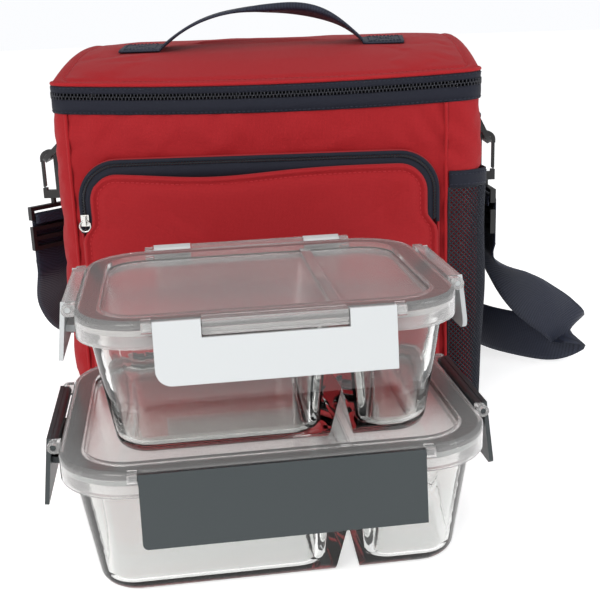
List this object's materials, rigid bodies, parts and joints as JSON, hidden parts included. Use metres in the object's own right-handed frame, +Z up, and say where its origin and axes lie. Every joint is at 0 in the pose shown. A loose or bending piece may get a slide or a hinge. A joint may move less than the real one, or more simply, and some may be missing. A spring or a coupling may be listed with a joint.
{
  "type": "lunch box",
  "caption": "Insulated zip-up lunch bag with front and mesh pockets and a shoulder strap, with stacked glass food containers whose lids latch on each side.",
  "frame": {"origin": "middle of the bag's base, on the surface that it stands on", "axes": "+Z up; -Y towards the front of the bag, where the containers stand; +X to its right"},
  "size_m": [0.4252, 0.4686, 0.2925],
  "materials": {
    "red_fabric": "matt woven polyester",
    "foam": "closed-cell foam",
    "liner": "smooth silver-grey film",
    "navy_tape": "woven zipper tape",
    "navy_teeth": "moulded teeth",
    "red_piping": "corded fabric edge",
    "navy_webbing": "ribbed polyester webbing",
    "bright_metal": "bright plated metal",
    "navy_mesh": "open knitted mesh",
    "black_plastic": "fine-grained acetal",
    "clear_glass": "clear borosilicate glass",
    "grey_silicone": "soft silicone",
    "milky_plastic": "translucent milky plastic",
    "grey_plastic": "smooth slate grey",
    "white_plastic": "smooth white"
  },
  "bodies": {
    "bag_body": {"body_cover": "red_fabric", "pocket_gusset": "red_fabric", "pocket_panel": "red_fabric", "body_foam": "foam", "body_liner": "liner", "mouth_tape": "navy_tape", "pocket_outer_tape": "navy_tape", "pocket_inner_tape": "navy_tape", "mesh_binding": "navy_tape", "body_teeth": "navy_teeth", "pocket_outer_teeth": "navy_teeth", "pocket_inner_teeth": "navy_teeth", "corner_piping_left": "red_piping", "corner_piping_right": "red_piping", "side_tab_left": "navy_webbing", "side_tab_right": "navy_webbing", "shoulder_strap": "navy_webbing", "mesh_pocket": "navy_mesh", "strap_ring_left": "black_plastic", "snap_hook_left": "black_plastic", "swivel_eye_left": "black_plastic", "strap_adjuster_left": "black_plastic", "strap_ring_right": "black_plastic", "snap_hook_right": "black_plastic", "swivel_eye_right": "black_plastic", "strap_adjuster_right": "black_plastic", "lid_fold_strip": "red_fabric"},
    "bag_lid": {"lid_cover": "red_fabric", "lid_foam": "foam", "lid_liner": "liner", "lid_tape": "navy_tape", "lid_teeth": "navy_teeth", "lid_piping": "red_piping", "carry_handle": "navy_webbing"},
    "main_slider": {"main_slider": "bright_metal"},
    "main_pull": {"main_pull": "bright_metal"},
    "pocket_slider": {"pocket_slider": "bright_metal"},
    "pocket_ring": {"pocket_ring": "bright_metal"},
    "hook_gate_left": {"hook_gate_left": "black_plastic"},
    "hook_gate_right": {"hook_gate_right": "black_plastic"},
    "lower_dish": {"lower_dish": "clear_glass"},
    "lower_lid": {"lower_lid": "milky_plastic", "lower_gasket": "grey_silicone"},
    "lower_latch_front": {"lower_latch_front": "grey_plastic"},
    "lower_latch_right": {"lower_latch_right": "grey_plastic"},
    "lower_latch_rear": {"lower_latch_rear": "grey_plastic"},
    "lower_latch_left": {"lower_latch_left": "grey_plastic"},
    "upper_dish": {"upper_dish": "clear_glass"},
    "upper_lid": {"upper_lid": "milky_plastic", "upper_gasket": "grey_silicone"},
    "upper_latch_front": {"upper_latch_front": "white_plastic"},
    "upper_latch_right": {"upper_latch_right": "white_plastic"},
    "upper_latch_rear": {"upper_latch_rear": "white_plastic"},
    "upper_latch_left": {"upper_latch_left": "white_plastic"}
  },
  "joints": [
    {"name": "bag_lid_hinge", "type": "hinge", "parent": "bag_body", "child": "bag_lid", "pos_m": [0, 0.1018, 0.24], "axis": [-1, 0, 0], "range_deg": [0, 180]},
    {"name": "main_slider_travel", "type": "slide", "parent": "bag_body", "child": "main_slider", "axis": [0, 1, 0], "range_m": [0, 0.12]},
    {"name": "main_pull_swing", "type": "hinge", "parent": "main_slider", "child": "main_pull", "pos_m": [-0.15205, -0.062, 0.24], "axis": [0, 0, 1], "range_deg": [0, 165]},
    {"name": "pocket_slider_travel", "type": "slide", "parent": "bag_body", "child": "pocket_slider", "axis": [0, 0, 1], "range_m": [0, 0.009]},
    {"name": "pocket_ring_swing", "type": "hinge", "parent": "pocket_slider", "child": "pocket_ring", "pos_m": [-0.1285, -0.11035, 0.155], "axis": [-1, 0, 0], "range_deg": [0, 150]},
    {"name": "hook_gate_left_swing", "type": "hinge", "parent": "bag_body", "child": "hook_gate_left", "pos_m": [-0.1721, -0.04, 0.16969], "axis": [0, 1, 0], "range_deg": [0, 16], "stiffness_Nm_per_rad": 0.02, "springref_deg": -17.19},
    {"name": "hook_gate_right_swing", "type": "hinge", "parent": "bag_body", "child": "hook_gate_right", "pos_m": [0.1666, -0.04, 0.1726], "axis": [0, -1, 0], "range_deg": [0, 16], "stiffness_Nm_per_rad": 0.02, "springref_deg": -17.19},
    {"name": "lower_dish_slide", "type": "slide", "parent": "bag_body", "child": "lower_dish", "axis": [0.1392, -0.9903, 0], "range_m": [0, 0.1]},
    {"name": "lower_lid_lift", "type": "slide", "parent": "lower_dish", "child": "lower_lid", "axis": [0, 0, 1], "range_m": [0, 0.06]},
    {"name": "upper_dish_lift", "type": "slide", "parent": "lower_lid", "child": "upper_dish", "axis": [0, 0, 1], "range_m": [0, 0.06]},
    {"name": "upper_lid_lift", "type": "slide", "parent": "upper_dish", "child": "upper_lid", "axis": [0, 0, 1], "range_m": [0, 0.06]},
    {"name": "lower_latch_front_hinge", "type": "hinge", "parent": "lower_lid", "child": "lower_latch_front", "pos_m": [0.01167, -0.34211, 0.0745], "axis": [-0.9903, -0.1392, 0], "range_deg": [-7, 100]},
    {"name": "lower_latch_right_hinge", "type": "hinge", "parent": "lower_lid", "child": "lower_latch_right", "pos_m": [0.11387, -0.23586, 0.0745], "axis": [0.1392, -0.9903, 0], "range_deg": [-7, 100]},
    {"name": "lower_latch_rear_hinge", "type": "hinge", "parent": "lower_lid", "child": "lower_latch_rear", "pos_m": [-0.01367, -0.16189, 0.0745], "axis": [0.9903, 0.1392, 0], "range_deg": [-7, 100]},
    {"name": "lower_latch_left_hinge", "type": "hinge", "parent": "lower_lid", "child": "lower_latch_left", "pos_m": [-0.11587, -0.26814, 0.0745], "axis": [-0.1392, 0.9903, 0], "range_deg": [-7, 100]},
    {"name": "upper_latch_front_hinge", "type": "hinge", "parent": "upper_lid", "child": "upper_latch_front", "pos_m": [0.01027, -0.33221, 0.1473], "axis": [-0.9903, -0.1392, 0], "range_deg": [-7, 100]},
    {"name": "upper_latch_right_hinge", "type": "hinge", "parent": "upper_lid", "child": "upper_latch_right", "pos_m": [0.10001, -0.2378, 0.1473], "axis": [0.1392, -0.9903, 0], "range_deg": [-7, 100]},
    {"name": "upper_latch_rear_hinge", "type": "hinge", "parent": "upper_lid", "child": "upper_latch_rear", "pos_m": [-0.01227, -0.17179, 0.1473], "axis": [0.9903, 0.1392, 0], "range_deg": [-7, 100]},
    {"name": "upper_latch_left_hinge", "type": "hinge", "parent": "upper_lid", "child": "upper_latch_left", "pos_m": [-0.10201, -0.2662, 0.1473], "axis": [-0.1392, 0.9903, 0], "range_deg": [-7, 100]}
  ]
}
